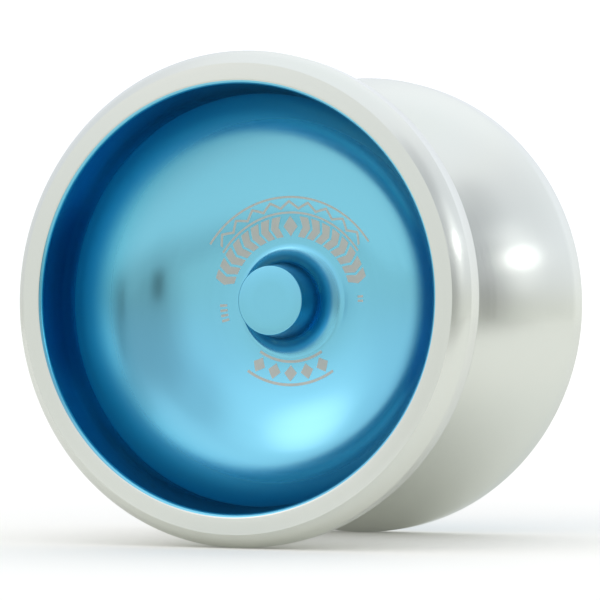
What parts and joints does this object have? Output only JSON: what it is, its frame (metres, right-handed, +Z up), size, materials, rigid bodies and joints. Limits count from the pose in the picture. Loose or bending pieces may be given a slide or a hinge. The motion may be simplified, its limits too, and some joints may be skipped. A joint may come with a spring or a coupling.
{
  "type": "yo-yo",
  "caption": "Turned metal yo-yo with flared halves, deep cups and flat hubs, a ball bearing between them for the string, and halves that unscrew from an axle.",
  "frame": {"origin": "middle of the yo-yo: on its spin axis, half way across the string gap", "axes": "+Y along the spin axis towards the rear half, +Z up, +X to the right seen from the front"},
  "size_m": [0.056, 0.0418, 0.056],
  "materials": {
    "clear_anodised": "satin, clear anodised over fine turning lines",
    "blue_anodised": "satin, light blue anodised over fine turning lines",
    "axle_steel": "black oxide steel",
    "silicone": "matte white silicone",
    "race_steel": "ground and polished steel",
    "cage_steel": "pressed stainless steel",
    "shield_steel": "stamped stainless steel",
    "clip_steel": "spring steel wire",
    "ball_steel": "polished steel"
  },
  "bodies": {
    "front_side": {"front_half": "clear_anodised", "axle_screw": "axle_steel", "front_response_pad": "silicone"},
    "bearing_seat": {"bearing_inner_race": "race_steel"},
    "string_ring": {"bearing_outer_race": "race_steel", "front_bearing_shield": "shield_steel", "rear_bearing_shield": "shield_steel", "front_shield_clip": "clip_steel", "rear_shield_clip": "clip_steel"},
    "ball_train": {"bearing_cage": "cage_steel", "bearing_ball_1": "ball_steel", "bearing_ball_2": "ball_steel", "bearing_ball_3": "ball_steel", "bearing_ball_4": "ball_steel", "bearing_ball_5": "ball_steel", "bearing_ball_6": "ball_steel", "bearing_ball_7": "ball_steel", "bearing_ball_8": "ball_steel", "bearing_ball_9": "ball_steel", "bearing_ball_10": "ball_steel"},
    "rear_side": {"rear_half": "clear_anodised", "rear_response_pad": "silicone"}
  },
  "joints": [
    {"name": "unscrew_travel", "type": "slide", "parent": "front_side", "child": "bearing_seat", "axis": [0, 1, 0], "range_m": [0, 0.007]},
    {"name": "unscrew_turn", "type": "hinge", "parent": "bearing_seat", "child": "rear_side", "pos_m": [0, 0, 0], "axis": [0, 1, 0], "range_deg": [0, 3600]},
    {"name": "bearing_spin", "type": "hinge", "parent": "bearing_seat", "child": "string_ring", "pos_m": [0, 0, 0], "axis": [0, 1, 0], "continuous": true},
    {"name": "ball_orbit", "type": "hinge", "parent": "bearing_seat", "child": "ball_train", "pos_m": [0, 0, 0], "axis": [0, 1, 0], "continuous": true}
  ],
  "couplings": [
    {"joint": "unscrew_travel", "follows": "unscrew_turn", "m_per_rad": 0.00011141},
    {"joint": "ball_orbit", "follows": "bearing_spin", "ratio": 0.58333}
  ]
}
